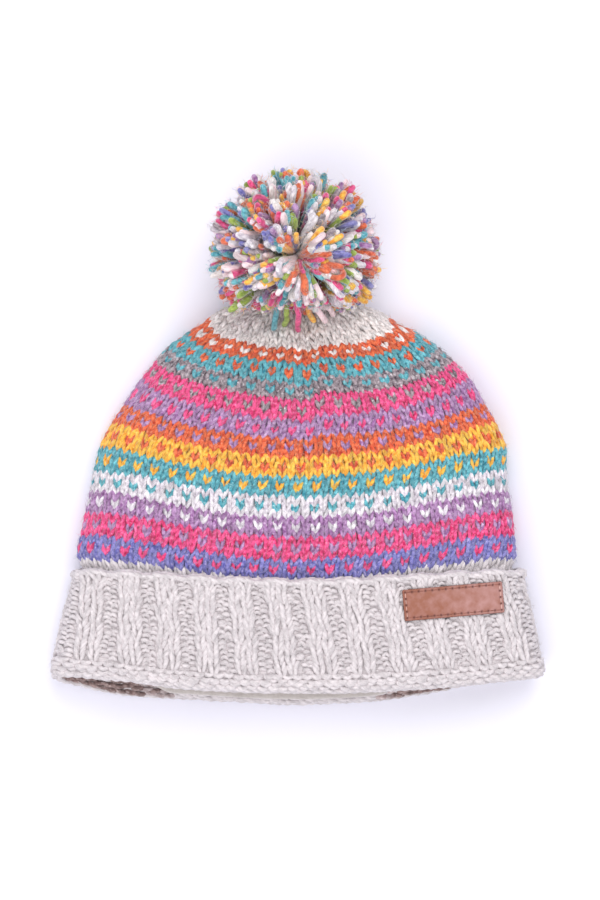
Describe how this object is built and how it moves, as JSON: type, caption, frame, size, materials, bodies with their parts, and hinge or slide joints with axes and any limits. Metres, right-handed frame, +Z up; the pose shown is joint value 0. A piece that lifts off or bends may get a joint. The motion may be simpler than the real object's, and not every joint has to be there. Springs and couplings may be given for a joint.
{
  "type": "knitted pom-pom hat",
  "caption": "Striped hand-knitted winter hat with a ribbed turned-up cuff, a bare leather tag, a fleece band inside and a multicoloured yarn pom-pom, lying flat on its back.",
  "frame": {"origin": "bottom centre of the bounding box, on the surface that the hat lies on", "axes": "+Y from the cuff's opening to the pom-pom, +Z up from the hat's back to its front, +X to the right of someone looking at the front with the pom-pom up"},
  "size_m": [0.2586, 0.2792, 0.0857],
  "materials": {
    "crown_knit": "wool stockinette in thirteen narrow stripes of pink, orange, yellow, teal, lilac, blue, grey and ivory, with flecks of the neighbouring colour",
    "cuff_knit": "oatmeal marl wool, ribbed, with a garter-stitch hem",
    "fleece": "soft cream fleece",
    "leather": "tan leather with a satin sheen, darker at its cut edges, sewn on with brown thread",
    "pompom_yarn": "cut wool yarn ends in cream, pinks, orange, yellow, teal, blue, green, lilac and grey"
  },
  "bodies": {
    "root": {"crown": "crown_knit", "cuff": "cuff_knit", "lining": "fleece", "tag": "leather", "pompom": "pompom_yarn"}
  },
  "joints": []
}
